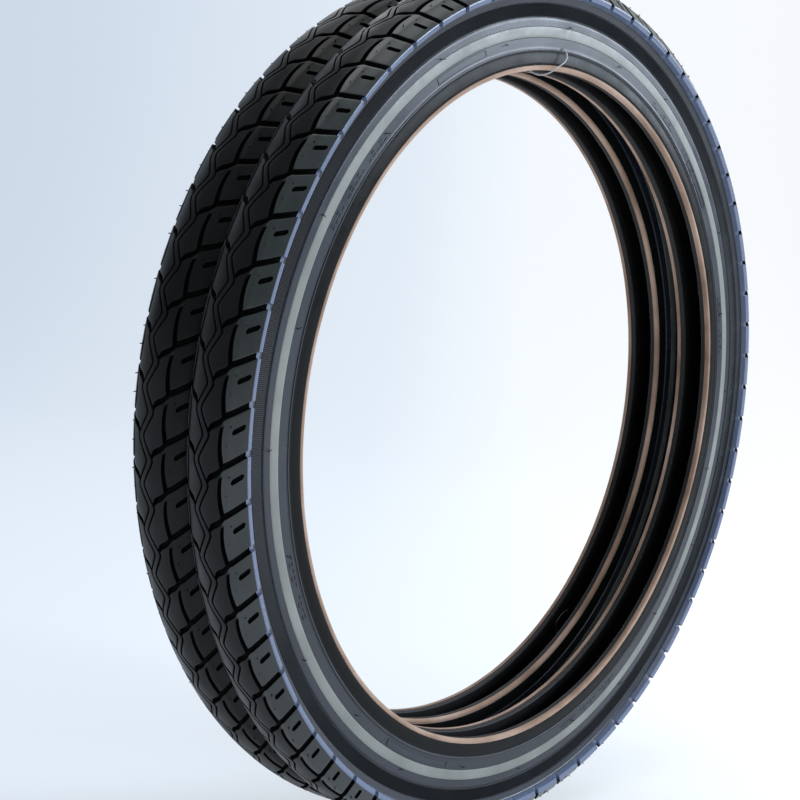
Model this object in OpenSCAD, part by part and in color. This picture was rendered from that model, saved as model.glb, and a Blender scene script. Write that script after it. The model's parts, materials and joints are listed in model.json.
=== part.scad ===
// A pair of wired-on bicycle tyres, size 57-406 (20 x 2.125), standing side by side on one axis.
// Millimetres. The wheel axis is Y, Z is up, and the origin is the centre of the pair.
// Each tyre is built like the real thing: bead wires, filler, two nylon plies, inner liner,
// puncture strip, moulded tread, rubber sidewalls with a light stripe, and cloth chafer strips.

/* [Size] */
// Bead seat radius: half of the 406 mm rim size
seat_r = 203; // [150:0.5:320]
// Height of the section, from the bead seat to the top of the tread
section_h = 57; // [52:0.5:60]
// Half width of one tyre over its shoulder blocks
half_w = 20.85; // [20:0.05:22]
// Distance between the two tyres' centre planes
pair_pitch = 42; // [42:0.1:80]

/* [Tread] */
// Pattern repeats round the tread
repeats = 66; // [24:1:90]
// Depth of the grooves
groove_d = 2.6; // [1:0.1:3]
// Width of the grooves that run across the shoulders
slot_w = 2.8; // [1:0.1:4]
// Slant of the shoulder grooves, in degrees
slot_slant = 32; // [0:1:40]

/* [Bead] */
// Radius of one strand of bead wire
wire_r = 0.72; // [0.4:0.02:0.72]

/* [Casing] */
// Thickness of one nylon ply
ply_t = 0.6; // [0.4:0.05:0.6]
// Thickness of the inner liner
liner_t = 0.5; // [0.3:0.05:0.8]
// Thickness of the puncture strip
strip_t = 1; // [0.5:0.1:1.2]
// Thickness of the reflective stripe
stripe_t = 0.3; // [0.2:0.05:0.5]

/* [Vent hairs] */
// Hairs in each ring on a sidewall
hairs = 12; // [4:1:24]
// Free length of one hair
hair_l = 3; // [1:0.1:4]

/* [Hidden] */
$fn = 48;
top_r = seat_r + section_h;
dr = section_h - 57;
dy = half_w - 20.85;

// Section points are [radius above the seat, distance from the centre plane].
// Outer face of the plies, from the crown down the sidewall to the bead.
ply_key = [
  [51.2 + dr, 0], [50.8 + dr, 5 + dy / 3], [49.3 + dr, 10 + dy / 2], [46.7 + dr, 13.8 + dy],
  [43.6 + dr, 15.4 + dy], [40.4 + dr, 14.9 + dy], [36, 13.7 + dy], [29, 12.7], [22, 11.9],
  [16, 10.9], [10.5, 9.3], [6.6, 8.3], [3, 8.1]
];
// The turn-up: round the wires and back up the outside.
turn_key = [
  [3, 8.1], [1.9, 8.5], [1.3, 9.4], [1.3, 10.6], [1.8, 11.4], [3, 11.7], [8, 11.7], [15.2, 12]
];
// Outer skin of the tread from the crown to the shoulder edge.
crown_key = [
  [57 + dr, 0], [56.5 + dr, 5.5], [54.9 + dr, 11], [52 + dr, 16 + dy / 2], [48.6 + dr, 19.4 + dy],
  [45.2 + dr, 20.85 + dy]
];
// Outer skin of the sidewall from the shoulder rib to the chafer.
side_key = [
  [42.2 + dr, 16.8 + dy], [40.6 + dr, 15.8 + dy], [37.8, 15 + dy], [37.4, 14.6 + dy],
  [29.8, 13.9], [29.3, 13.3], [28.8, 13.8], [24.4, 13.6], [18.4, 13.5], [12.4, 13.2],
  [11.7, 13.8], [11, 13.2], [6.6, 13.1]
];

function spline(a, b, c, d, t) =
  0.5 * (2 * b + (c - a) * t + (2 * a - 5 * b + 4 * c - d) * t * t
  + (3 * b - a - 3 * c + d) * t * t * t);
// A curve through the points p; lead is the point that would come before them.
function smooth_path(p, n, lead) = [
  for (i = [0 : len(p) - 2])
    for (k = [0 : n - 1])
      spline(i > 0 ? p[i - 1] : lead, p[i], p[i + 1], p[min(i + 2, len(p) - 1)], k / n),
  p[len(p) - 1]
];
function unit(v) = v / norm(v);
function side_of(p, i) =
  let (a = p[max(i - 1, 0)], b = p[min(i + 1, len(p) - 1)], t = unit(b - a))
  [-t[1], t[0]];
function shifted(p, d) = [for (i = [0 : len(p) - 1]) p[i] + d * side_of(p, i)];
function flipped(p) = [for (i = [len(p) - 1 : -1 : 0]) p[i]];
function slice(p, a, b) = [for (i = [a : b]) p[i]];
function mirrored(p) = [for (v = p) [v[0], -v[1]]];
// A half path from the crown and its mirror image, joined at the centre plane.
function whole(p) = concat(flipped(mirrored(slice(p, 1, len(p) - 1))), p);

ply_path = smooth_path(ply_key, 2, mirrored(ply_key)[1]);
turn_path = smooth_path(turn_key, 2, turn_key[0]);
ply_end = len(ply_path) - 1;
wrap_path = concat(slice(ply_path, 0, ply_end - 1), turn_path);
crown_path = smooth_path(crown_key, 2, mirrored(crown_key)[1]);

// A layer between two distances from a path, across the whole section.
module layer(p, from, to) {
  w = whole(p);
  polygon(concat(shifted(w, from), flipped(shifted(w, to))));
}

// Everything on the cavity side of the outer ply's face.
module inside_ply() {
  polygon(whole(ply_path));
}

// The space between the ply's two legs round the wires, up to its apex.
module filler_outline() {
  polygon(concat(slice(ply_path, ply_end - 8, ply_end - 1), turn_path));
}

// Turns a section into a ring on the wheel axis.
module ring() {
  rotate([-90, 0, 0])
    rotate_extrude($fn = 180)
      translate([seat_r, 0])
        children();
}

// Side: 1 is the rear half of a tyre, -1 the front half.
module half(side) {
  if (side > 0) children();
  if (side < 0) mirror([0, 1]) children();
}

module puncture_strip_2d() {
  layer(slice(ply_path, 0, 5), -strip_t, 0);
}

// Two pairs of grooves run round the tread, beside the centre rib and inside the shoulders.
groove_at = [[57, 2.4, 1.2], [54.6, 11.4, 1.3]];

module tread_2d() {
  difference() {
    polygon(whole(concat(crown_path, [[43.4 + dr, 20.3 + dy], [42.2 + dr, 16.8 + dy]])));
    inside_ply();
    puncture_strip_2d();
    for (g = groove_at)
      for (s = [-1, 1])
        translate([g[0] + dr - groove_d, s * (g[1] + g[2] / 2) - g[2] / 2])
          square([8, g[2]]);
  }
}

module tread() {
  color("#1b1c1e")
    difference() {
      ring()
        tread_2d();
      for (i = [0 : repeats - 1])
        for (s = [-1, 1])
          rotate([0, (i + s / 4) * 360 / repeats, 0])
            translate([0, s * (18.4 + dy), top_r - 3 - groove_d])
              rotate([s * -45, 0, 0])
                rotate([0, 0, s * slot_slant])
                  cube([slot_w, 14, 8.6], center = true);
    }
}

module puncture_strip() {
  color("#b58b3c")
    ring()
      puncture_strip_2d();
}

module outer_ply() {
  color("#c9bfae")
    ring()
      layer(wrap_path, 0, ply_t);
}

module inner_ply() {
  color("#bdb29f")
    ring()
      layer(ply_path, ply_t, 2 * ply_t);
}

module liner_2d() {
  layer(slice(ply_path, 0, ply_end - 3), 2 * ply_t, 2 * ply_t + liner_t);
}

module liner() {
  color("#151517")
    ring()
      liner_2d();
}

module stripe_2d() {
  polygon([[24.4, 13.6], [18.4, 13.5], [18.4, 13.5 - stripe_t], [24.4, 13.6 - stripe_t]]);
}

// Rubber over the outer face of the bead, down to the heel.
module heel_rubber_2d() {
  polygon([[6.6, 13.1], [2, 13], [2, 12.4], [6.6, 12.4]]);
}

module sidewall_2d() {
  difference() {
    polygon(concat(side_key, [[6.6, 9], [42.2 + dr, 9]]));
    inside_ply();
    filler_outline();
    layer(wrap_path, 0, ply_t);
    stripe_2d();
  }
  heel_rubber_2d();
}

module sidewall(side) {
  color("#2a2d31")
    ring()
      half(side)
        sidewall_2d();
}

module stripe(side) {
  color("#9aa39c")
    ring()
      half(side)
        stripe_2d();
}

// Three strands of wire in a triangle.
wire_at = [[2.35, 9.2], [2.35, 10.8], [3.74, 10]];

module bead_wire(side) {
  color("#b98a4e")
    ring()
      half(side)
        for (w = wire_at)
          translate(w)
            circle(wire_r);
}

module filler(side) {
  color("#232426")
    ring()
      half(side)
        difference() {
          filler_outline();
          for (w = wire_at)
            translate(w)
              circle(wire_r);
        }
}

// Flat seat with rounded heel and toe. The corner angles turn from the inner face to the outer.
toe_at = [1.6, 7.8];
heel_at = [1.6, 11.4];
corner_r = 1.6;
function corner(centre, from) =
  [for (a = [from : -15 : from - 90]) centre + corner_r * [cos(a), sin(a)]];

module bead_2d() {
  polygon(concat([[6.6, 6.2]], corner(toe_at, 270), corner(heel_at, 180), [[6.6, 13]]));
}

module chafer(side) {
  color("#b98d6c")
    ring()
      half(side)
        difference() {
          bead_2d();
          heel_rubber_2d();
          filler_outline();
          layer(wrap_path, 0, ply_t);
          layer(ply_path, ply_t, 2 * ply_t);
          liner_2d();
        }
}

// Two rings of hairs, inside and outside the stripe.
hair_at = [[17, 13.4], [26, 13.6]];

module vent_hairs() {
  color("#121214")
    for (k = [0, 1])
      for (i = [0 : hairs - 1])
        for (s = [-1, 1])
          rotate([0, (i + k * 0.5) * 360 / hairs + 8, 0])
            translate([seat_r + hair_at[k][0], s * hair_at[k][1], 0])
              rotate([s * -90, 0, 0])
                translate([0, 0, -0.6])
                  cylinder(h = hair_l + 0.6, r = 0.4, $fn = 16);
}

// A round cord swept along a list of points.
function cord_axis(p, i) = unit(p[min(i + 1, len(p) - 1)] - p[max(i - 1, 0)]);
function cord_ring(p, i, r, n) =
  let (t = cord_axis(p, i), u = unit(cross(t, [0.13, 0.27, 0.95])), v = cross(t, u))
  [for (k = [0 : n - 1]) p[i] + r * cos(k * 360 / n) * u + r * sin(k * 360 / n) * v];

module cord(p, r, n) {
  rings = [for (i = [0 : len(p) - 1]) each cord_ring(p, i, r, n)];
  m = len(p);
  walls = [for (i = [0 : m - 2]) for (k = [0 : n - 1])
    each [[i * n + k, i * n + (k + 1) % n, (i + 1) * n + k],
      [i * n + (k + 1) % n, (i + 1) * n + (k + 1) % n, (i + 1) * n + k]]];
  cap_a = [[for (k = [n - 1 : -1 : 0]) k]];
  cap_b = [[for (k = [0 : n - 1]) (m - 1) * n + k]];
  polyhedron(points = rings, faces = concat(walls, cap_a, cap_b));
}

// Places one tyre's piece: -1 is the near tyre, 1 the far tyre.
module tyre(which) {
  translate([0, which * pair_pitch / 2, 0])
    children();
}

// Clear nylon cord: a stitch out of the near tyre's front sidewall, over the bead and back in.
loop_r = 0.45;
loop_path = [
  [-31.2, -34, 213.6], [-31, -35.8, 213.3], [-29.6, -36.8, 212], [-28.9, -37.3, 209.6],
  [-30.1, -37.6, 206.9], [-32, -37.4, 204.8], [-34, -36.9, 203], [-36.3, -36.2, 201],
  [-38, -35, 199], [-39.1, -33.2, 197.5], [-40.3, -31, 196.4], [-42, -28.8, 195.9],
  [-43.6, -26.4, 196.2], [-44.9, -24.2, 197.4], [-45.7, -22.6, 199.5], [-46, -21.8, 202],
  [-45.9, -21.7, 204.6], [-45.5, -22.2, 207.1], [-44.8, -23.4, 209.4], [-44, -25.3, 211.1],
  [-43.3, -27.5, 212.2], [-42.8, -29.8, 212.7]
];

// Fine loose thread lying against the far tyre's rear bead.
thread_r = 0.16;
thread_path = [
  [158.6, 29.8, -147.8], [157.8, 28.6, -148.4], [156, 27.6, -148.6], [153.9, 27, -147.9],
  [151.2, 26.8, -148.1], [148.6, 26.7, -149.4], [146, 26.6, -151], [144.1, 26.6, -152.8],
  [142.6, 26.6, -154.5], [141.8, 26.7, -156.2], [142, 26.8, -157.9], [143.2, 26.9, -159.3],
  [145.2, 27, -160.8], [147.1, 27.3, -162.8], [148.3, 27.8, -165.4], [148.1, 28.3, -168.3],
  [146.4, 28.8, -171], [143.9, 29.2, -173.2], [140.8, 29.5, -174.9], [137.6, 29.8, -176.3]
];

module nylon_loop() {
  color("#dfe3e6")
    cord(loop_path, loop_r, 8);
}

module loose_thread() {
  color("#8d8d88")
    cord(thread_path, thread_r, 8);
}

tyre(-1) tread();  // near_tread
tyre(-1) puncture_strip();  // near_puncture_strip
tyre(-1) outer_ply();  // near_outer_ply
tyre(-1) inner_ply();  // near_inner_ply
tyre(-1) liner();  // near_liner
tyre(-1) sidewall(-1);  // near_sidewall_front
tyre(-1) sidewall(1);  // near_sidewall_rear
tyre(-1) stripe(-1);  // near_stripe_front
tyre(-1) stripe(1);  // near_stripe_rear
tyre(-1) filler(-1);  // near_filler_front
tyre(-1) filler(1);  // near_filler_rear
tyre(-1) bead_wire(-1);  // near_bead_wire_front
tyre(-1) bead_wire(1);  // near_bead_wire_rear
tyre(-1) chafer(-1);  // near_chafer_front
tyre(-1) chafer(1);  // near_chafer_rear
tyre(-1) vent_hairs();  // near_vent_hairs
tyre(1) tread();  // far_tread
tyre(1) puncture_strip();  // far_puncture_strip
tyre(1) outer_ply();  // far_outer_ply
tyre(1) inner_ply();  // far_inner_ply
tyre(1) liner();  // far_liner
tyre(1) sidewall(-1);  // far_sidewall_front
tyre(1) sidewall(1);  // far_sidewall_rear
tyre(1) stripe(-1);  // far_stripe_front
tyre(1) stripe(1);  // far_stripe_rear
tyre(1) filler(-1);  // far_filler_front
tyre(1) filler(1);  // far_filler_rear
tyre(1) bead_wire(-1);  // far_bead_wire_front
tyre(1) bead_wire(1);  // far_bead_wire_rear
tyre(1) chafer(-1);  // far_chafer_front
tyre(1) chafer(1);  // far_chafer_rear
tyre(1) vent_hairs();  // far_vent_hairs
nylon_loop();
loose_thread();
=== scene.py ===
"""A pair of bicycle tyres standing side by side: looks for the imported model.

Metres, wheel axis along Y, Z up. Sections are written in millimetres as
(radius above the bead seat, distance from the tyre's centre plane).
"""
import json
import math

import bpy
import numpy as np
from mathutils import Matrix, Vector


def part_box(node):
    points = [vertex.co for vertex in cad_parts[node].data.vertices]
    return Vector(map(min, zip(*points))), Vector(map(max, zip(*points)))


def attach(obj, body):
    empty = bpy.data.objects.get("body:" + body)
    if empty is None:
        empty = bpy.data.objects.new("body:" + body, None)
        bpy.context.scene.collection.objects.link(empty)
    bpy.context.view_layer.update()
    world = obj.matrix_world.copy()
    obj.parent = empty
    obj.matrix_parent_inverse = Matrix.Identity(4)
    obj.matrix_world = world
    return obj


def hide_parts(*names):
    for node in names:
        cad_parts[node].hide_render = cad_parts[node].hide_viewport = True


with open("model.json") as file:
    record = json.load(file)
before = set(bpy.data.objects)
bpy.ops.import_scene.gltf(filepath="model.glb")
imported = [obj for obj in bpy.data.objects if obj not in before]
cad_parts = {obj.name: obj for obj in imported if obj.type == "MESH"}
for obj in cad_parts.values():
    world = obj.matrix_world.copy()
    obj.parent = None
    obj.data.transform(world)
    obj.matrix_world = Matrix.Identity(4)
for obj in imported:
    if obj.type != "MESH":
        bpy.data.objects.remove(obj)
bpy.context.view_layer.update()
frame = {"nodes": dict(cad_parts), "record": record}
scene = bpy.context.scene
MM = 0.001

# ---------------------------------------------------------------- sizes
mounts = {m["name"]: m for m in frame["record"]["mounts"]}
SEAT = mounts["near_bead_rear"]["dims"]["r_mm"]
TOP = 57
REPEATS = 66
PITCH = 2 * math.pi * (SEAT + TOP) / REPEATS
# How far each tyre's tread pattern is turned, in mm round the crown.
TURNED = {"near": -3.6, "far": 16.0}


def centre_plane(which):
    """The tyre's place along the axis, in mm."""
    low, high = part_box(which + "_tread")
    return 0.5 * (low[1] + high[1]) / MM


# ---------------------------------------------------------------- camera
CAMERA_AT = (-0.6964, -0.5183, 0.0338)
LOOK = Vector((0.75746, 0.65129, -0.04554))
UP = Vector((-0.0528, 0.13062, 0.99003))
LENS_MM = 62.17

# ---------------------------------------------------------------- cords
NYLON_ROUTE = [
    (-31.2, -34, 213.6), (-31, -35.8, 213.3), (-29.6, -36.8, 212), (-28.9, -37.3, 209.6),
    (-30.1, -37.6, 206.9), (-32, -37.4, 204.8), (-34, -36.9, 203), (-36.3, -36.2, 201),
    (-38, -35, 199), (-39.1, -33.2, 197.5), (-40.3, -31, 196.4), (-42, -28.8, 195.9),
    (-43.6, -26.4, 196.2), (-44.9, -24.2, 197.4), (-45.7, -22.6, 199.5), (-46, -21.8, 202),
    (-45.9, -21.7, 204.6), (-45.5, -22.2, 207.1), (-44.8, -23.4, 209.4), (-44, -25.3, 211.1),
    (-43.3, -27.5, 212.2), (-42.8, -29.8, 212.7),
]
NYLON_D = 0.9
THREAD_ROUTE = [
    (158.6, 29.8, -147.8), (157.8, 28.6, -148.4), (156, 27.6, -148.6), (153.9, 27, -147.9),
    (151.2, 26.8, -148.1), (148.6, 26.7, -149.4), (146, 26.6, -151), (144.1, 26.6, -152.8),
    (142.6, 26.6, -154.5), (141.8, 26.7, -156.2), (142, 26.8, -157.9), (143.2, 26.9, -159.3),
    (145.2, 27, -160.8), (147.1, 27.3, -162.8), (148.3, 27.8, -165.4), (148.1, 28.3, -168.3),
    (146.4, 28.8, -171), (143.9, 29.2, -173.2), (140.8, 29.5, -174.9), (137.6, 29.8, -176.3),
]
THREAD_D = 0.32

# ---------------------------------------------------------------- section curves
# From the crown down, [radius above the seat, distance from the centre plane].
CROWN = [(57, 0), (56.5, 5.5), (54.9, 11), (52, 16), (48.6, 19.4), (45.2, 20.85)]
PLY = [
    (51.2, 0), (50.8, 5), (49.3, 10), (46.7, 13.8), (43.6, 15.4), (40.4, 14.9), (36, 13.7),
    (29, 12.7), (22, 11.9), (16, 10.9), (10.5, 9.3), (6.6, 8.3), (3, 8.1),
]


class Curve:
    """A smooth curve through section points, read by distance along it."""

    def __init__(self, keys):
        keys = np.array(keys, float)
        ends = [keys[1] * (1, -1), 2 * keys[-1] - keys[-2]]
        padded = np.vstack([ends[0], keys, ends[1]])
        t = np.linspace(0, 1, 24, endpoint=False)[:, None]
        pieces = []
        for i in range(len(keys) - 1):
            a, b, c, d = padded[i : i + 4]
            bend = 2 * a - 5 * b + 4 * c - d
            twist = 3 * b - a - 3 * c + d
            pieces.append(0.5 * (2 * b + (c - a) * t + bend * t**2 + twist * t**3))
        self.points = np.vstack(pieces + [keys[-1:]])
        steps = np.hypot(*np.diff(self.points, axis=0).T)
        self.along = np.concatenate([[0], np.cumsum(steps)])
        self.length = self.along[-1]

    def at(self, s):
        s = np.clip(s, -self.length, self.length)
        r = np.interp(abs(s), self.along, self.points[:, 0])
        y = np.interp(abs(s), self.along, self.points[:, 1])
        return r, np.where(s < 0, -y, y)

    def offset(self, s, height):
        """The point that far off the curve, outward for a positive height."""
        s = np.asarray(s, float)
        r, y = self.at(s)
        r0, y0 = self.at(np.clip(s - 0.4, -self.length, self.length))
        r1, y1 = self.at(np.clip(s + 0.4, -self.length, self.length))
        size = np.hypot(r1 - r0, y1 - y0)
        return r + (y1 - y0) / size * height, y - (r1 - r0) / size * height


crown = Curve(CROWN)
ply = Curve(PLY)


# ---------------------------------------------------------------- mesh helpers
def smoothstep(low, high, x):
    t = np.clip((np.asarray(x, float) - low) / (high - low), 0, 1)
    return t * t * (3 - 2 * t)


def trapezoid(x, a, b, c, d):
    """0 before a, 1 from b to c and 0 after d, with straight flanks."""
    return np.clip(np.minimum((x - a) / (b - a), (d - x) / (d - c)), 0, 1)


def new_mesh(name, verts, faces, smooth_angle=40):
    """An object from points in mm and quads, with its faces turned outward."""
    verts = np.asarray(verts, float) * MM
    faces = np.asarray(faces, np.int32)
    a, b, c, d = (verts[faces[:, k]] for k in range(4))
    volume = np.einsum("ij,ij->", a, np.cross(b, c)) + np.einsum("ij,ij->", a, np.cross(c, d))
    if volume < 0:
        faces = faces[:, ::-1]
    mesh = bpy.data.meshes.new(name)
    mesh.vertices.add(len(verts))
    mesh.vertices.foreach_set("co", np.ascontiguousarray(verts, np.float32).ravel())
    mesh.loops.add(faces.size)
    mesh.loops.foreach_set("vertex_index", np.ascontiguousarray(faces).ravel())
    mesh.polygons.add(len(faces))
    mesh.polygons.foreach_set("loop_start", np.arange(0, faces.size, 4, dtype=np.int32))
    mesh.update(calc_edges=True)
    mesh.shade_smooth()
    mesh.set_sharp_from_angle(angle=math.radians(smooth_angle))
    obj = bpy.data.objects.new(name, mesh)
    scene.collection.objects.link(obj)
    return obj


def wheel_points(theta, r, y):
    """Angle round the axis, radius above the seat and place along the axis, to x, y, z in mm."""
    radius = SEAT + r
    return np.stack([radius * np.cos(theta), y + 0 * radius, radius * np.sin(theta)], -1)


def ring(name, theta, r, y, smooth_angle=40):
    """A closed ring: rows go round the section and columns round the wheel."""
    theta, r, y = np.broadcast_arrays(theta, r, y)
    rows, cols = r.shape
    i, j = np.meshgrid(np.arange(rows), np.arange(cols), indexing="ij")
    ii, jj = (i + 1) % rows, (j + 1) % cols
    faces = np.stack([i * cols + j, i * cols + jj, ii * cols + jj, ii * cols + j], -1)
    points = wheel_points(theta, r, y)
    return new_mesh(name, points.reshape(-1, 3), faces.reshape(-1, 4), smooth_angle)


def turned_ring(name, section, middle, side, cols=720, smooth_angle=40):
    """A plain ring of section points on one side of a tyre."""
    section = np.array(section, float)
    theta = np.linspace(0, 2 * math.pi, cols, endpoint=False)[None, :]
    return ring(name, theta, section[:, :1], middle + side * section[:, 1:], smooth_angle)


def arc(centre, radius, start, stop, count):
    """Section points on a round corner; angles in degrees from the +radius direction."""
    a = np.radians(np.linspace(start, stop, count))
    return [(centre[0] + radius * math.cos(t), centre[1] + radius * math.sin(t)) for t in a]


def rounded(points, step=0.8):
    """More points along straight section runs, so that bends stay round."""
    out = []
    for (r0, y0), (r1, y1) in zip(points, points[1:]):
        count = max(1, int(math.hypot(r1 - r0, y1 - y0) / step))
        out += [(r0 + (r1 - r0) * k / count, y0 + (y1 - y0) * k / count) for k in range(count)]
    return out + [points[-1]]


def tubes(name, paths, sides=6):
    """One object of many thin closed tubes; a path is a list of points and their radii."""
    verts, faces = [], []
    for points, radii in paths:
        points = np.asarray(points, float)
        base = len(verts)
        for k, point in enumerate(points):
            ahead = points[min(k + 1, len(points) - 1)] - points[max(k - 1, 0)]
            ahead /= np.linalg.norm(ahead)
            across = np.cross(ahead, (0.31, 0.17, 0.93))
            across /= np.linalg.norm(across)
            other = np.cross(ahead, across)
            for j in range(sides):
                a = 2 * math.pi * j / sides
                verts.append(point + radii[k] * (math.cos(a) * across + math.sin(a) * other))
        for k in range(len(points) - 1):
            for j in range(sides):
                jj = (j + 1) % sides
                row, up = base + k * sides, base + (k + 1) * sides
                faces.append((row + j, row + jj, up + jj, up + j))
        last = base + (len(points) - 1) * sides
        for j in range(0, sides - 2, 2):
            faces.append((base, base + j + 1, base + j + 2, base + (j + 3) % sides)[::-1])
            faces.append((last, last + j + 1, last + j + 2, last + (j + 3) % sides))
    return new_mesh(name, np.array(verts), faces, 60)


def add(obj, which, slot, material, *nodes):
    """Gives a piece its material and body, and hides the CAD nodes that it stands for; the slot is
    not used.
    """
    obj.data.materials.append(material)
    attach(obj, which + "_tyre")
    if nodes:
        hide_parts(*nodes)
    return obj


# ---------------------------------------------------------------- materials
class Look:
    """A procedural material built up a few nodes at a time."""

    def __init__(self, name, colour, roughness, **sockets):
        self.material = bpy.data.materials.new(name)
        self.material.use_nodes = True
        self.tree = self.material.node_tree
        self.shader = self.tree.nodes["Principled BSDF"]
        self.shader.inputs["Base Color"].default_value = (*colour, 1)
        self.shader.inputs["Roughness"].default_value = roughness
        for socket, value in sockets.items():
            self.shader.inputs[socket.replace("_", " ")].default_value = value
        self.place = self.node("ShaderNodeTexCoord").outputs["Object"]
        self.height = None

    def node(self, kind, **values):
        node = self.tree.nodes.new(kind)
        for key, value in values.items():
            setattr(node, key, value)
        return node

    def link(self, out, into):
        self.tree.links.new(out, into)

    def math(self, operation, a, b=0.5):
        node = self.node("ShaderNodeMath", operation=operation)
        for socket, value in zip(node.inputs, (a, b)):
            if isinstance(value, (int, float)):
                socket.default_value = value
            else:
                self.link(value, socket)
        return node.outputs[0]

    def noise(self, scale, detail=3, stretch=(1, 1, 1)):
        mapping = self.node("ShaderNodeMapping")
        mapping.inputs["Scale"].default_value = stretch
        self.link(self.place, mapping.inputs["Vector"])
        noise = self.node("ShaderNodeTexNoise")
        noise.inputs["Scale"].default_value = scale
        noise.inputs["Detail"].default_value = detail
        self.link(mapping.outputs[0], noise.inputs["Vector"])
        return noise.outputs["Fac"]

    def ramp(self, value, stops):
        """Colours or grey levels at stops of a value."""
        node = self.node("ShaderNodeValToRGB")
        elements = node.color_ramp.elements
        while len(elements) < len(stops):
            elements.new(0.5)
        for element, (at, colour) in zip(elements, stops):
            element.position = at
            element.color = (*colour, 1) if isinstance(colour, tuple) else (*[colour] * 3, 1)
        self.link(value, node.inputs["Fac"])
        return node.outputs["Color"]

    def colour(self, value, stops):
        self.link(self.ramp(value, stops), self.shader.inputs["Base Color"])

    def roughness(self, value, stops):
        self.link(self.ramp(value, stops), self.shader.inputs["Roughness"])

    def bump(self, value, strength, distance):
        node = self.node("ShaderNodeBump")
        node.inputs["Strength"].default_value = strength
        node.inputs["Distance"].default_value = distance
        self.link(value, node.inputs["Height"])
        if self.height is not None:
            self.link(self.height, node.inputs["Normal"])
        self.height = node.outputs["Normal"]
        self.link(self.height, self.shader.inputs["Normal"])

    def polar(self):
        """Angle round the wheel axis (-0.5 to 0.5) and radius in metres."""
        split = self.node("ShaderNodeSeparateXYZ")
        self.link(self.place, split.inputs[0])
        x, z = split.outputs["X"], split.outputs["Z"]
        angle = self.math("DIVIDE", self.math("ARCTAN2", z, x), 2 * math.pi)
        squares = self.math("ADD", self.math("MULTIPLY", x, x), self.math("MULTIPLY", z, z))
        return angle, self.math("SQRT", squares)


def tread_rubber():
    look = Look("tread_rubber", (0.006, 0.0065, 0.007), 0.4, Specular_IOR_Level=0.20)
    patches = look.noise(24, 5)
    look.colour(patches, [(0.35, (0.0045, 0.005, 0.0053)), (0.7, (0.010, 0.0105, 0.0108))])
    look.roughness(look.noise(60, 4), [(0.3, 0.30), (0.7, 0.48)])
    look.bump(look.noise(900, 2), 0.12, 0.0003)
    return look.material


def shoulder_painted_light():
    """Rubber a little lighter than the crown's, for the near tyre's shoulder blocks: painted light
    where they face the lamps.
    """
    look = Look("shoulder_painted_light", (0.03, 0.036, 0.036), 0.32, Specular_IOR_Level=0.5)
    look.colour(look.noise(30, 5), [(0.3, (0.026, 0.032, 0.032)), (0.7, (0.046, 0.055, 0.054))])
    look.roughness(look.noise(60, 4), [(0.3, 0.24), (0.7, 0.40)])
    look.bump(look.noise(900, 2), 0.10, 0.0003)
    return look.material


def groove_painted_shade():
    """Matt rubber low in the grooves, darker than the tread as painted shade."""
    look = Look("groove_painted_shade", (0.002, 0.002, 0.0022), 0.75, Specular_IOR_Level=0.08)
    look.roughness(look.noise(120, 3), [(0.3, 0.68), (0.7, 0.85)])
    return look.material


def sidewall_rubber():
    look = Look("sidewall_rubber", (0.02, 0.022, 0.026), 0.3, Specular_IOR_Level=0.4)
    look.colour(look.noise(18, 4), [(0.3, (0.015, 0.020, 0.030)), (0.75, (0.026, 0.033, 0.047))])
    look.roughness(look.noise(45, 5), [(0.3, 0.24), (0.7, 0.38)])
    look.bump(look.noise(1200, 2), 0.06, 0.0002)
    return look.material


def bead_rubber_look():
    look = Look("bead_rubber", (0.006, 0.007, 0.007), 0.3, Specular_IOR_Level=0.10)
    look.roughness(look.noise(70, 4), [(0.3, 0.24), (0.7, 0.38)])
    look.bump(look.noise(500, 2), 0.05, 0.0002)
    return look.material


def rib_painted_reflection():
    """The smooth lip under the shoulder blocks, polished by the mould; its light blue-grey base
    colour is a painted reflection of the bright studio.
    """
    look = Look("rib_painted_reflection", (0.13, 0.17, 0.27), 0.25, Specular_IOR_Level=0.6)
    look.roughness(look.noise(90, 4), [(0.3, 0.18), (0.7, 0.32)])
    return look.material


def serrated_rubber():
    look = Look("serrated_rubber", (0.008, 0.0085, 0.009), 0.45, Specular_IOR_Level=0.14)
    look.colour(look.noise(40, 3), [(0.35, (0.006, 0.008, 0.010)), (0.7, (0.012, 0.015, 0.018))])
    return look.material


def stripe_film():
    look = Look("stripe_film", (0.36, 0.38, 0.35), 0.42, Specular_IOR_Level=0.5)
    look.colour(look.noise(30, 6), [(0.3, (0.18, 0.195, 0.18)), (0.72, (0.27, 0.285, 0.265))])
    look.roughness(look.noise(220, 4), [(0.3, 0.34), (0.7, 0.52)])
    look.bump(look.noise(2600, 2), 0.15, 0.0001)
    return look.material


def chafer_cloth():
    """Rubbered square-woven cloth: two crossing sets of threads round the bead."""
    look = Look("chafer_cloth", (0.5, 0.34, 0.25), 0.8, Specular_IOR_Level=0.25)
    stains = look.noise(28, 6)
    look.colour(stains, [
        (0.25, (0.22, 0.13, 0.085)), (0.5, (0.42, 0.275, 0.195)), (0.75, (0.58, 0.42, 0.335)),
    ])
    angle, radius = look.polar()
    split = look.node("ShaderNodeSeparateXYZ")
    look.link(look.place, split.inputs[0])
    across = look.math("ADD", look.math("MULTIPLY", radius, 2 * math.pi / 0.0008), 0.0)
    level = look.math("MULTIPLY", split.outputs["Y"], 2 * math.pi / 0.0008)
    threads = look.math("SINE", look.math("ADD", across, level))
    round_wheel = look.math("SINE", look.math("MULTIPLY", angle, 2 * math.pi * 1500))
    weave = look.math("MULTIPLY", threads, round_wheel)
    look.bump(weave, 0.35, 0.00025)
    look.bump(look.noise(700, 4), 0.3, 0.0004)
    look.shader.inputs["Sheen Weight"].default_value = 0.25
    look.shader.inputs["Sheen Roughness"].default_value = 0.5
    return look.material


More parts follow.
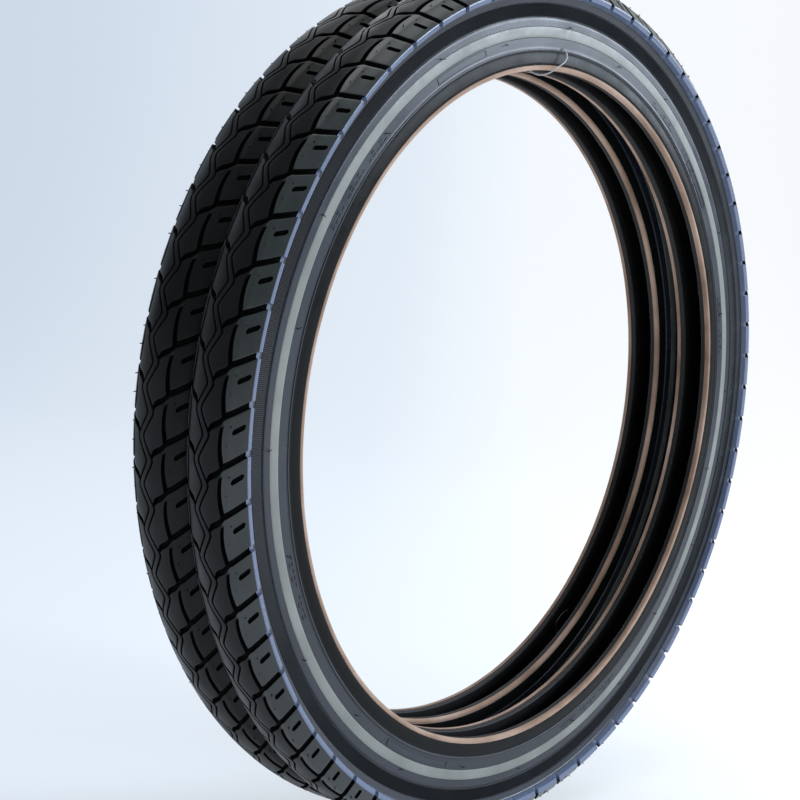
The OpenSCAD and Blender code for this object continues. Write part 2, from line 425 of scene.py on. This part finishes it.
def liner_rubber():
    look = Look("liner_rubber", (0.008, 0.008, 0.0085), 0.5, Specular_IOR_Level=0.35)
    look.colour(look.noise(35, 4), [(0.3, (0.006, 0.006, 0.0065)), (0.75, (0.013, 0.013, 0.0135))])
    angle = look.polar()[0]
    cords = look.math("SINE", look.math("MULTIPLY", angle, 2 * math.pi * 900))
    look.bump(cords, 0.25, 0.0003)
    return look.material


def nylon_ply():
    look = Look("nylon_ply", (0.5, 0.45, 0.37), 0.6)
    look.colour(look.noise(60, 3), [(0.3, (0.42, 0.37, 0.30)), (0.7, (0.56, 0.51, 0.43))])
    angle = look.polar()[0]
    look.bump(look.math("SINE", look.math("MULTIPLY", angle, 2 * math.pi * 1200)), 0.4, 0.0003)
    return look.material


def puncture_strip():
    look = Look("puncture_strip", (0.45, 0.26, 0.06), 0.5)
    look.colour(look.noise(50, 4), [(0.3, (0.38, 0.21, 0.05)), (0.7, (0.5, 0.3, 0.08))])
    return look.material


def filler_rubber():
    look = Look("filler_rubber", (0.02, 0.02, 0.021), 0.55)
    look.roughness(look.noise(80, 4), [(0.3, 0.48), (0.7, 0.62)])
    return look.material


def bead_steel():
    look = Look("bead_steel", (0.52, 0.33, 0.16), 0.32, Metallic=1.0)
    look.roughness(look.noise(300, 4), [(0.3, 0.24), (0.7, 0.42)])
    return look.material


def nylon_cord():
    look = Look("nylon_cord", (0.8, 0.82, 0.83), 0.18, IOR=1.53)
    look.shader.inputs["Transmission Weight"].default_value = 0.45
    look.roughness(look.noise(200, 3), [(0.3, 0.12), (0.7, 0.26)])
    return look.material


def thread_fibre():
    look = Look("thread_fibre", (0.25, 0.25, 0.24), 0.7)
    look.colour(look.noise(500, 3), [(0.3, (0.18, 0.18, 0.17)), (0.7, (0.34, 0.34, 0.33))])
    return look.material


TREAD_RUBBER = tread_rubber()
SHOULDER_LIGHT_AND_SHADE = {"near": shoulder_painted_light(), "far": TREAD_RUBBER}  # painted light and shade: the near tyre's shoulders get a lighter rubber, the far tyre's shaded shoulders the crown's darker one
SIDEWALL_RUBBER = sidewall_rubber()
SERRATED_RUBBER = serrated_rubber()
STRIPE_FILM = stripe_film()
BEAD_RUBBER = bead_rubber_look()
RIB_REFLECTION = rib_painted_reflection()
GROOVE_SHADE = groove_painted_shade()
CHAFER_CLOTH = chafer_cloth()
LINER_RUBBER = liner_rubber()


# ---------------------------------------------------------------- cords themselves
def cord_curve(name, route, diameter, material):
    """A round cord: a curve of one open spline through the route's points."""
    curve = bpy.data.curves.new(name, "CURVE")
    curve.dimensions = "3D"
    spline = curve.splines.new("NURBS")
    spline.points.add(len(route) - 1)
    for point, (x, y, z) in zip(spline.points, route):
        point.co = (x * MM, y * MM, z * MM, 1)
    spline.order_u = 3
    spline.use_endpoint_u = True
    spline.resolution_u = 6
    curve.bevel_depth = diameter / 2 * MM
    curve.bevel_resolution = 3
    curve.use_fill_caps = True
    curve.materials.append(material)
    obj = bpy.data.objects.new(name, curve)
    scene.collection.objects.link(obj)
    return obj


def free_cord(name, route, diameter, material, body, node):
    obj = cord_curve(name, route, diameter, material)
    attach(obj, body)
    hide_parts(node)
    return obj


free_cord("nylon_loop_cord", NYLON_ROUTE, NYLON_D, nylon_cord(), "near_tyre",
          "nylon_loop")
free_cord("loose_thread_cord", THREAD_ROUTE, THREAD_D, thread_fibre(), "far_tyre",
          "loose_thread")

# ---------------------------------------------------------------- tread
# Distances in mm: T from the crown's centre line towards a shoulder, p round the wheel after
# a slanting groove. The two sides of the pattern are half a pitch apart.
COLS = 30
WAVE = 3.1
GROOVE_DEPTH = 2.6
RING_DEPTH = 2.0
J_DEPTH = 2.6
SIPE_DEPTH = 2.4
BEVEL = 0.28
BEVEL_DROP = 0.07
WALL = 0.35
SIPE_AT = 10.0
SIPE_HALF = 1.1
RIDGE_EDGE = (1.3, 1.45)
RING_EDGE = (2.5, 2.65)
J_INNER = (11.9, 12.15)
J_OUTER = (13.75, 14.0)
J_MIDDLE = 12.95
J_BOW = 1.5
J_BOW_FROM = 10
CREASE = 15.5
SIPE_ROWS = (17.2, 17.45, 18.0, 23.1, 23.65, 23.9)
SHOULDER_END = 25.45
FACET_SAG = 0.95
# Faces deeper than this are matt and painted darker, as shade; it is more than the facet's own
# sag.
MATT_SHADE_BELOW = 1.15
CROWN_ROWS = [0, 0.75, 1.02, *RIDGE_EDGE, *RING_EDGE, 2.93, 3.8, 5, 6.3, 7.6, 8.9, 10.2, 11.3,
              11.62, *J_INNER, J_MIDDLE]
SHOULDER_ROWS = [J_MIDDLE, *J_OUTER, 14.28, 14.9, CREASE, 16.2, 16.92, *SIPE_ROWS[:3], 20.5,
                 *SIPE_ROWS[3:], 24.15, 24.4, 24.8, 25.15, SHOULDER_END]
SHOULDER_CLOSE = [
    (44.6, 20.8), (42.3, 19.9), (41.4, 16.6), (42.2, 15.4), (46.7, 13.9), (47.9, 12.5),
]
# How far each closing row has turned back from the outer edge's angles to the inner edge's.
SHOULDER_CLOSE_SHARE = [0, 0, 0, 0.1, 0.6, 1.0]
# How much of the groove's depth shows in the first rows under the lip.
LIP_NOTCH = (0.9, 0.55)
LIP_ROWS = 3
CROWN_CLOSE = [(47.9, 12.5), (49.5, 9.6), (50.7, 5.2)]


def groove_line(t):
    """Where the slanting groove's centre lies round the wheel at a distance from the crown."""
    return np.interp(t, [3.2, 11.7, 14.3, 23.9, 25.5], [16.0, 8.2, 5.5, 0, -1])


def wave(u):
    """A rounded zigzag from -1 to 1 that repeats once a pitch."""
    sharp = 0.94
    return np.arcsin(sharp * np.cos(2 * math.pi * u / PITCH)) / math.asin(sharp)


def wave_fade(T):
    return 1 - smoothstep(3.5, 11.5, T)


def pocket_half(T):
    """Half the pocket's width round the wheel; its two ends are rounded."""
    return SIPE_HALF * (0.45 + 0.55 * trapezoid(T, *SIPE_ROWS[1:5]))


def columns(T):
    """Places of the columns in one pitch at a row, and half the slanting groove's width."""
    half = np.interp(T, [2.4, 4, 7, 12, 25], [0.8, 1.1, 1.5, 1.75, 1.8])
    start, stop = half + BEVEL, PITCH - half - BEVEL
    low = SIPE_AT - pocket_half(T) - WALL - BEVEL
    high = SIPE_AT + pocket_half(T) + WALL + BEVEL
    sipe = [low, low + BEVEL, low + BEVEL + WALL, high - BEVEL - WALL, high - BEVEL, high]
    block_a = list(start + (low - start) * np.arange(1, 6) / 6)
    block_b = list(high + (stop - high) * np.arange(1, 14) / 14)
    first = [half - WALL, half, start]
    last = [stop, stop + BEVEL, stop + BEVEL + WALL]
    marks = np.array(first + block_a + sipe + block_b + last)[:COLS]
    even = (np.arange(COLS) + 0.5) * PITCH / COLS
    share = smoothstep(0.2, 2.2, T)
    return even + (marks - even) * share, half


def tread_depth(T, p, half):
    """How far the tread surface lies below the crown's outer skin."""
    groove = 1 - trapezoid(p, half - WALL, half, PITCH - half, PITCH - half + WALL)
    groove = GROOVE_DEPTH * groove * (T > RIDGE_EDGE[1])
    round_groove = RING_DEPTH * trapezoid(T, *RIDGE_EDGE, *RING_EDGE)
    j_groove = J_DEPTH * trapezoid(T, *J_INNER, *J_OUTER) * np.clip((p - 4.2) / 0.7, 0, 1)
    wide = pocket_half(T)
    near_edge, far_edge = SIPE_AT - wide, SIPE_AT + wide
    sipe = trapezoid(p, near_edge - WALL, near_edge, far_edge, far_edge + WALL)
    ends = trapezoid(T, SIPE_ROWS[0], SIPE_ROWS[1], SIPE_ROWS[4], SIPE_ROWS[5])
    sipe = SIPE_DEPTH * sipe * ends
    cut = np.maximum(np.maximum(groove, round_groove), np.maximum(j_groove, sipe))
    to_edge = np.minimum(p - half, PITCH - half - p)
    to_edge = np.where(T > RIDGE_EDGE[1], to_edge, 9)
    to_edge = np.minimum(to_edge, np.where(T < 1.9, RIDGE_EDGE[0] - T, T - RING_EDGE[1]))
    to_edge = np.minimum(to_edge, SHOULDER_END - T)
    bevel = BEVEL_DROP * (1 - np.clip(to_edge / BEVEL, 0, 1))
    x = np.clip((T - CREASE) / (SHOULDER_END - CREASE), 0, 1)
    facet = 4 * FACET_SAG * x * (1 - x)
    return np.maximum(cut, bevel + facet)


def tread_side(rows, turned, side):
    """Angle, radius and axial place of one side's rows, from the centre outward."""
    theta, r, y, depths = [], [], [], []
    shift = turned + (0.5 * PITCH if side < 0 else 0)
    for T in rows:
        p, half = columns(T)
        p = (p[None, :] + np.arange(REPEATS)[:, None] * PITCH).ravel()
        local = p % PITCH
        beside_j = trapezoid(T, J_BOW_FROM, J_INNER[0], J_OUTER[1], CREASE)
        bow = -J_BOW * np.sin(math.pi * local / PITCH) * beside_j
        u = p + groove_line(T + WAVE * wave_fade(T))
        t = T + WAVE * wave(u - groove_line(0)) * wave_fade(T) + bow
        depth = tread_depth(T, local, half)
        radius, place = crown.offset(t, -depth)
        theta.append((u + shift) / (SEAT + TOP))
        r.append(radius)
        y.append(side * place)
        depths.append(depth)
    return np.array(theta), np.array(r), np.array(y), np.array(depths)


def crown_piece(which, middle):
    """The wavy centre rib and the shield-shaped blocks on both sides of it."""
    halves = {side: tread_side(CROWN_ROWS, TURNED[which], side) for side in (1, -1)}
    theta, r, y, depths = halves[1]
    theta_b, r_b, y_b, depths_b = halves[-1]
    roll = COLS // 2
    theta_b = np.concatenate([theta_b[:, -roll:] - 2 * math.pi, theta_b[:, :-roll]], axis=1)
    r_b = np.roll(r_b, roll, axis=1)
    y_b = np.roll(y_b, roll, axis=1)
    depths_b = np.roll(depths_b, roll, axis=1)
    close = np.array(CROWN_CLOSE + [(51.3, 0)] + [(a, -b) for a, b in CROWN_CLOSE[::-1]])
    count = len(close)
    share = (np.arange(1, count + 1) / (count + 1))[:, None]
    under_theta = theta[-1] * (1 - share) + theta_b[-1] * share
    ones = np.ones((1, theta.shape[1]))
    theta = np.vstack([theta_b[:0:-1], theta, under_theta])
    r = np.vstack([r_b[:0:-1], r, close[:, :1] * ones])
    y = np.vstack([y_b[:0:-1], y, close[:, 1:] * ones])
    depths = np.vstack([depths_b[:0:-1], depths])
    return ring(which + "_tread_crown", theta, r, middle + y, 32), depths


def shoulder_piece(which, middle, side, name):
    """Shoulder blocks with a short pocket in each, down to the lip over the sidewall."""
    theta, r, y, depths = tread_side(SHOULDER_ROWS, TURNED[which], side)
    close = np.array(SHOULDER_CLOSE)
    share = np.array(SHOULDER_CLOSE_SHARE)[:, None]
    under_theta = theta[-1] * (1 - share) + theta[0] * share
    ones = np.ones((1, theta.shape[1]))
    under_y = close[:, 1:] * ones
    notch = np.clip(depths[-1] - BEVEL_DROP, 0, None)
    for row, part in enumerate(LIP_NOTCH):
        under_y[row] -= notch * part
    theta = np.vstack([theta, under_theta])
    r = np.vstack([r, close[:, :1] * ones])
    y = np.vstack([y, side * under_y])
    return ring(which + "_tread_" + name, theta, r, middle + y, 32), depths


def paint_lip_reflection(shoulder):
    """The lip under the shoulder blocks gets the polished look and its painted reflection."""
    shoulder.data.materials.append(RIB_REFLECTION)
    cols = COLS * REPEATS
    index = np.zeros(len(shoulder.data.polygons), np.int32)
    shoulder.data.polygons.foreach_get("material_index", index)
    first = (len(SHOULDER_ROWS) - 1) * cols
    index[first : first + LIP_ROWS * cols] = 2
    shoulder.data.polygons.foreach_set("material_index", index)


def paint_groove_shade(obj, depths):
    """Faces that lie deep in a groove get the matt look with painted shade; depths has a row for
    each ring row.
    """
    obj.data.materials.append(GROOVE_SHADE)
    cols = depths.shape[1]
    rows = np.zeros((len(obj.data.polygons) // cols, cols))
    rows[: len(depths)] = depths
    after = np.roll(rows, -1, axis=0)
    mean = (rows + np.roll(rows, -1, 1) + after + np.roll(after, -1, 1)) / 4
    index = (mean > MATT_SHADE_BELOW).astype(np.int32)
    index[len(depths) - 1 :] = 0
    obj.data.polygons.foreach_set("material_index", index.ravel())


# ---------------------------------------------------------------- sidewall
# Outer skin from the shoulder lip down to the cloth at the bead.
SERRATION = (37.4, 29.9)
SIDE_SKIN = [
    (41.3, 16.3), (40.9, 15.95), (40.2, 15.7), (38.2, 15.1), (37.8, 14.95), (37.5, 14.35),
    (29.9, 13.6), (29.75, 13.85), (29.5, 13.75), (29.4, 13.25), (29.1, 13.25), (29.0, 13.75),
    (28.7, 13.85), (24.6, 13.65), (24.4, 13.35), (18.4, 13.25), (18.2, 13.5), (12.5, 13.25),
    (12.1, 13.35), (11.9, 13.75), (11.5, 13.75), (11.3, 13.3), (10.9, 13.1), (10.6, 13.0),
]
BEAD_SKIN = [(10.6, 13.0), (10.1, 12.9), (8.6, 12.95), (6.6, 13.05), (4.4, 13.05), (3.3, 12.98),
             (2.9, 12.85), (2.85, 12.5)]
# Nearer to the centre plane than this, the bead cloth is skimmed with rubber.
SKIM_EDGE = 9.9
SIDE_BACK = [(10.6, 12.3), (12, 12.35), (18, 12.6), (24, 12.8), (30, 13.0), (36, 14.0), (40, 15.0)]


def skin_at(radius):
    """The sidewall's distance from the centre plane at a radius above the seat."""
    skin = np.array(SIDE_SKIN)[::-1]
    return np.interp(radius, skin[:, 0], skin[:, 1])


def sidewall_body(which, middle, side, name):
    section = rounded(SIDE_SKIN, 0.9) + SIDE_BACK
    return turned_ring(which + "_sidewall_" + name, section, middle, side, 720, 30)


def bead_rubber(which, middle, side, name):
    """The glossy smooth band from the raised line down to the heel of the bead."""
    section = rounded(BEAD_SKIN, 0.6) + [(3.1, 12.2), (10.6, 12.1)]
    return turned_ring(which + "_bead_rubber_" + name, section, middle, side, 720, 40)


def serrated_band(which, middle, side, name):
    """Fine radial ridges between the shoulder lip and the thin round groove."""
    count = 24 * REPEATS
    theta = np.arange(2 * count)[None, :] * math.pi / count
    high = (np.arange(2 * count) % 2)[None, :] * 0.24
    top, bottom = SERRATION
    radii = np.array([top, top - 0.35, 0.5 * (top + bottom), bottom + 0.35, bottom])
    lift = np.array([-0.05, 0.1, 0.1, 0.1, -0.05])[:, None]
    ridge = np.array([0, 1, 1, 1, 0])[:, None]
    outer = skin_at(radii)[:, None] + lift + ridge * high
    r = np.concatenate([radii, radii[::-1]])[:, None] * np.ones_like(theta)
    inner = skin_at(radii[::-1])[:, None] - 0.4 + 0 * high
    y = np.vstack([outer, inner])
    return ring(which + "_serration_" + name, theta, r, middle + side * y, 25)


def stripe_ring(which, middle, side, name):
    section = [(24.45, 13.3), (24.35, 13.62), (24.1, 13.72)]
    section += [(22.6, 13.72), (21.4, 13.70), (20.2, 13.67), (18.75, 13.62)]
    section += [(18.5, 13.54), (18.4, 13.2)]
    return turned_ring(which + "_stripe_" + name, section, middle, side, 720, 40)


def chafer_section():
    """The bead cloth: over the heel, along the ribbed seat and round to the toe."""
    top = [(4.6, 12.0), (2.8, 12.35), (2.7, 12.85), (2.2, 12.98)]
    heel = arc((1.6, 11.4), 1.6, 84, 180, 9)
    seat = []
    for k in range(1, 24):
        y = 11.4 - 3.4 * k / 24
        seat.append((0.16 - 0.16 * math.cos(2 * math.pi * (y - 8.0) / 1.13), y))
    toe = arc((1.6, 7.8), 1.6, 180, 225, 5) + [(0.9, 7.1)]
    return top + heel + seat + toe + [(3.2, 8.3), (3.2, 11.5)]


def chafer_ring(which, middle, side, name):
    return turned_ring(which + "_chafer_" + name, chafer_section(), middle, side, 900, 50)


def skim_toe(cloth):
    """The toe half of the bead cloth is skimmed with dark rubber."""
    cloth.data.materials.append(LINER_RUBBER)
    section = chafer_section()
    outside = len(section) - 2
    skimmed = [k < outside and point[1] < SKIM_EDGE for k, point in enumerate(section)]
    index = np.repeat(np.array(skimmed, np.int32), len(cloth.data.polygons) // len(section))
    cloth.data.polygons.foreach_set("material_index", index)


def toe_rubber(which, middle, side, name):
    """Dark skim rubber over the toe and the inner face of the bead."""
    toe = arc((1.6, 7.8), 1.56, 222, 265, 6)
    section = [(0.9, 7.4)] + toe + [(2.6, 6.22), (4.2, 6.25), (6.0, 6.3), (7.4, 6.6)]
    section += [(7.6, 7.2), (5.0, 7.0), (2.4, 7.1), (1.0, 7.8)]
    return turned_ring(which + "_toe_" + name, section, middle, side, 720, 50)


def liner_ring(which, middle):
    """The thin dark layer inside the tyre, from bead to bead."""
    s = np.linspace(0, ply.length - 4.2, 26)
    face = np.stack(ply.offset(s, -1.7), -1)
    back = np.stack(ply.offset(s, -1.25), -1)
    face = np.vstack([face[:0:-1] * (1, -1), face])
    back = np.vstack([back[:0:-1] * (1, -1), back])[::-1]
    return turned_ring(which + "_liner_skin", np.vstack([face, back]), middle, 1, 540, 40)


# ---------------------------------------------------------------- hairs and marks
HAIR_ROWS = ((16.6, 0.5), (25.6, 0))
HAIR_COUNT = 12
FUZZ_COUNT = 260
HAIR_TURN = math.radians(7)


def hair(rng, theta, r, middle, side):
    """One curved, tapering vent hair on a small pip, standing off the sidewall."""
    length = rng.uniform(2.0, 3.0)
    lean = rng.uniform(-1.0, 1.0)
    points, radii = [], []
    for k in range(8):
        t = k / 7
        off = 0.2 + length * t
        along = lean * length * 0.8 * t * t / (SEAT + r)
        drop = 0.9 * t * t
        y = middle + side * (skin_at(r) - 0.4 + off)
        points.append(wheel_points(theta + along, r - drop, y))
        radii.append(0.34 * (1 - 0.55 * t) * (1 if k else 2.0))
    return points, radii


def vent_hairs(which, middle, rng):
    paths = []
    for r, half in HAIR_ROWS:
        for k in range(HAIR_COUNT):
            theta = 2 * math.pi * (k + half) / HAIR_COUNT + HAIR_TURN
            for side in (-1, 1):
                paths.append(hair(rng, theta + rng.uniform(-0.01, 0.01), r, middle, side))
    return tubes(which + "_hairs", paths)


def tread_pips(which, middle, rng):
    """Short moulding pips left on some of the shoulder blocks."""
    paths = []
    for side in (-1, 1):
        for k in range(REPEATS):
            for t, p in ((16.6, 6.5), (14.9, 15.0)):
                half_pitch = 0.5 * PITCH if side < 0 else 0
                u = groove_line(t) + p + k * PITCH + TURNED[which] + half_pitch
                tall = rng.uniform(0.3, 1.3) if rng.uniform() < 0.6 else 0.15
                ends = []
                for height in (-0.8, 0.0, tall):
                    r, y = crown.offset(np.array(t), height)
                    lean = 0.3 * max(height, 0) / (SEAT + TOP)
                    theta = u / (SEAT + TOP) + lean
                    ends.append(wheel_points(theta, float(r), middle + side * float(y)))
                paths.append((ends, [0.34, 0.34, 0.22]))
    return tubes(which + "_pips", paths)


def bars(name, spans, middle, side):
    """Raised flat bars on a sidewall: (angle from, angle to, radius from, radius to) each."""
    verts, faces = [], []
    for a0, a1, r0, r1 in spans:
        base = len(verts)
        steps = max(2, int(abs(a1 - a0) / 0.02) + 1)
        inset_a, inset_r = 0.12 / SEAT, 0.12
        for j in range(steps + 1):
            t = j / steps
            low = a0 + (a1 - a0) * t
            high = a0 + inset_a + (a1 - a0 - 2 * inset_a) * t
            for a, r, lift in ((low, r0, -0.2), (high, r0 + inset_r, 0.28),
                               (high, r1 - inset_r, 0.28), (low, r1, -0.2)):
                verts.append(wheel_points(a, r, middle + side * (skin_at(r) + lift)))
        for j in range(steps):
            row, up = base + 4 * j, base + 4 * (j + 1)
            for k in range(4):
                kk = (k + 1) % 4
                faces.append((row + k, row + kk, up + kk, up + k))
        faces.append((base + 3, base + 2, base + 1, base))
        last = base + 4 * steps
        faces.append((last, last + 1, last + 2, last + 3))
    return new_mesh(name, np.array(verts, float), faces, 30)


def moulded_marks(which, middle, side, name):
    """Plain moulded dashes and framed panels between the stripe and the raised line."""
    spans = []
    for centre, count in ((2.62, 16), (3.62, 10), (5.20, 18), (0.35, 12), (1.15, 8)):
        width, gap = 2.6 / (SEAT + 15), 1.3 / (SEAT + 15)
        start = centre - 0.5 * count * (width + gap)
        for k in range(count):
            if k % 6 == 5:
                continue
            a = start + k * (width + gap)
            spans.append((a, a + width, 14.1, 14.8))
            if k % 2:
                spans.append((a, a + width, 16.0, 16.7))
    for centre, half_angle in ((2.15, 0.10), (4.35, 0.14), (0.85, 0.09)):
        for r in (13.5, 17.0):
            spans.append((centre - half_angle, centre + half_angle, r, r + 0.45))
        for a in (centre - half_angle, centre + half_angle):
            spans.append((a - 0.0011, a + 0.0011, 13.5, 17.45))
    return bars(which + "_marks_" + name, spans, middle, side)


def bead_fuzz(which, middle, side, name, rng):
    """Loose fibre ends along the cut edges of the bead cloth."""
    paths = []
    for _ in range(FUZZ_COUNT):
        theta = rng.uniform(0, 2 * math.pi)
        toe = rng.uniform() < 0.7
        r, y = (0.7, 6.7) if toe else (2.9, 12.8)
        length = rng.uniform(0.5, 1.9)
        swing = rng.uniform(-1, 1)
        points = []
        for j in range(4):
            t = j / 3 * length
            out = -0.75 * t if toe else 0.35 * t
            points.append(wheel_points(theta + swing * t / SEAT, r + out * (0.6 if toe else 1),
                                       middle + side * (y - (0.3 * t if toe else -0.35 * t))))
        paths.append((points, [0.07, 0.06, 0.05, 0.03]))
    return tubes(which + "_fuzz_" + name, paths, 4)


# ---------------------------------------------------------------- tyres
def build_tyre(which):
    middle = centre_plane(which)
    rng = np.random.default_rng(11 if which == "near" else 23)
    tread_node = which + "_tread"
    crown_obj, depths = crown_piece(which, middle)
    add(crown_obj, which, "tread_rubber", TREAD_RUBBER, tread_node)
    paint_groove_shade(crown_obj, depths)
    add(liner_ring(which, middle), which, "liner_rubber", LINER_RUBBER, which + "_liner")
    add(vent_hairs(which, middle, rng), which, "tread_rubber", TREAD_RUBBER, which + "_vent_hairs")
    add(tread_pips(which, middle, rng), which, "tread_rubber", TREAD_RUBBER)
    for side, name in ((-1, "front"), (1, "rear")):
        shoulder, depths = shoulder_piece(which, middle, side, name)
        # the shoulder rubber carries painted light on the near tyre and painted shade on the far
        # one
        add(shoulder, which, "tread_rubber", SHOULDER_LIGHT_AND_SHADE[which], tread_node)
        paint_groove_shade(shoulder, depths)
        paint_lip_reflection(shoulder)
        add(sidewall_body(which, middle, side, name), which, "sidewall_rubber", SIDEWALL_RUBBER,
            which + "_sidewall_" + name)
        add(serrated_band(which, middle, side, name), which, "sidewall_rubber", SERRATED_RUBBER)
        add(stripe_ring(which, middle, side, name), which, "stripe", STRIPE_FILM,
            which + "_stripe_" + name)
        add(bead_rubber(which, middle, side, name), which, "sidewall_rubber", BEAD_RUBBER)
        skim_toe(add(chafer_ring(which, middle, side, name), which, "chafer_cloth", CHAFER_CLOTH,
                     which + "_chafer_" + name))
        add(toe_rubber(which, middle, side, name), which, "liner_rubber", LINER_RUBBER)
        add(moulded_marks(which, middle, side, name), which, "sidewall_rubber", SIDEWALL_RUBBER)
        add(bead_fuzz(which, middle, side, name, rng), which, "chafer_cloth", CHAFER_CLOTH)


def dress_hidden_layers():
    """Materials for the layers that keep their CAD solids."""
    looks = {
        "puncture_strip": puncture_strip(), "outer_ply": nylon_ply(), "filler": filler_rubber(),
        "bead_wire": bead_steel(),
    }
    looks["inner_ply"] = looks["outer_ply"]
    for node, obj in frame["nodes"].items():
        for part, material in looks.items():
            if part in node:
                obj.data.materials.clear()
                obj.data.materials.append(material)


for tyre in ("near", "far"):
    build_tyre(tyre)
dress_hidden_layers()


# ---------------------------------------------------------------- floor, light, camera
def backdrop():
    """A pale floor that curves up into a wall behind. It glows, with painted light: darker and
    bluer to the left, white to the right.
    """
    look = Look("glowing_painted_light_floor", (0.86, 0.89, 0.93), 0.85, Specular_IOR_Level=0.1)
    forward = Vector((LOOK.x, LOOK.y, 0)).normalized()
    across = Vector((forward.y, -forward.x, 0))
    split = look.node("ShaderNodeSeparateXYZ")
    look.link(look.place, split.inputs[0])
    to_right = look.math("ADD", look.math("MULTIPLY", split.outputs["X"], across.x),
                         look.math("MULTIPLY", split.outputs["Y"], across.y))
    # painted light: colour and glow run from bluish grey at the left to white at the right
    shade = look.math("ADD", look.math("MULTIPLY", to_right, 0.4), 0.5)
    stops = [(0.0, (0.68, 0.76, 0.84)), (0.3, (0.76, 0.82, 0.89)), (0.45, (0.79, 0.85, 0.91)),
             (0.6, (0.93, 0.96, 0.99)), (0.9, (1.0, 1.0, 1.0))]
    look.colour(shade, [(at, tuple(0.5 * c for c in colour)) for at, colour in stops])
    look.link(look.ramp(shade, stops), look.shader.inputs["Emission Color"])
    look.shader.inputs["Emission Strength"].default_value = 0.58
    profile = [(-9.0, 0.0), (2.2, 0.0)]
    bend = 1.6
    profile += [(2.2 + bend * math.sin(a), bend * (1 - math.cos(a)))
                for a in np.linspace(0.1, math.pi / 2, 14)]
    profile += [(2.2 + bend, 7.0)]
    ground = -(SEAT + TOP) * MM
    verts, faces = [], []
    for d, h in profile:
        for s in (-9, 9):
            p = forward * d + across * s
            verts.append((p.x, p.y, ground + h))
    for k in range(len(profile) - 1):
        faces.append((2 * k, 2 * k + 1, 2 * k + 3, 2 * k + 2))
    mesh = bpy.data.meshes.new("backdrop")
    mesh.from_pydata(verts, [], faces)
    mesh.shade_smooth()
    mesh.materials.append(look.material)
    obj = bpy.data.objects.new("backdrop", mesh)
    scene.collection.objects.link(obj)


def softbox(name, place, target, size, power, colour):
    light = bpy.data.lights.new(name, "AREA")
    light.shape = "RECTANGLE"
    light.size, light.size_y = size
    light.energy = power
    light.color = colour
    obj = bpy.data.objects.new(name, light)
    obj.location = place
    aim = Vector(target) - Vector(place)
    obj.rotation_euler = aim.to_track_quat("-Z", "Y").to_euler()
    scene.collection.objects.link(obj)


def studio():
    world = bpy.data.worlds.new("studio")
    world.use_nodes = True
    background = world.node_tree.nodes["Background"]
    background.inputs["Color"].default_value = (0.80, 0.88, 1.0, 1)
    background.inputs["Strength"].default_value = 0.22
    scene.world = world
    cool = (0.78, 0.87, 1.0)
    softbox("high_right", (1.9, -1.7, 1.25), (0, 0, 0.1), (1.7, 1.3), 70, cool)
    softbox("low_right", (1.6, -1.9, -0.1), (0.3, -0.6, -0.26), (1.4, 0.5), 3, cool)
    softbox("top", (-0.2, -0.2, 1.9), (0, 0, 0), (1.5, 1.5), 16, (1, 1, 1))
    softbox("back_wall", (2.0, 2.2, 2.6), (1.6, 1.6, 0), (2.4, 2.4), 30, (1, 1, 1))


def camera():
    right = LOOK.cross(UP).normalized()
    up = right.cross(LOOK).normalized()
    turn = Matrix((right, up, -LOOK.normalized())).transposed().to_4x4()
    data = bpy.data.cameras.new("camera")
    data.lens = LENS_MM
    data.sensor_width = 36
    data.clip_start, data.clip_end = 0.01, 60
    obj = bpy.data.objects.new("camera", data)
    obj.matrix_world = Matrix.Translation(CAMERA_AT) @ turn
    scene.collection.objects.link(obj)
    scene.camera = obj


backdrop()
studio()
camera()
scene.view_settings.view_transform = "Standard"
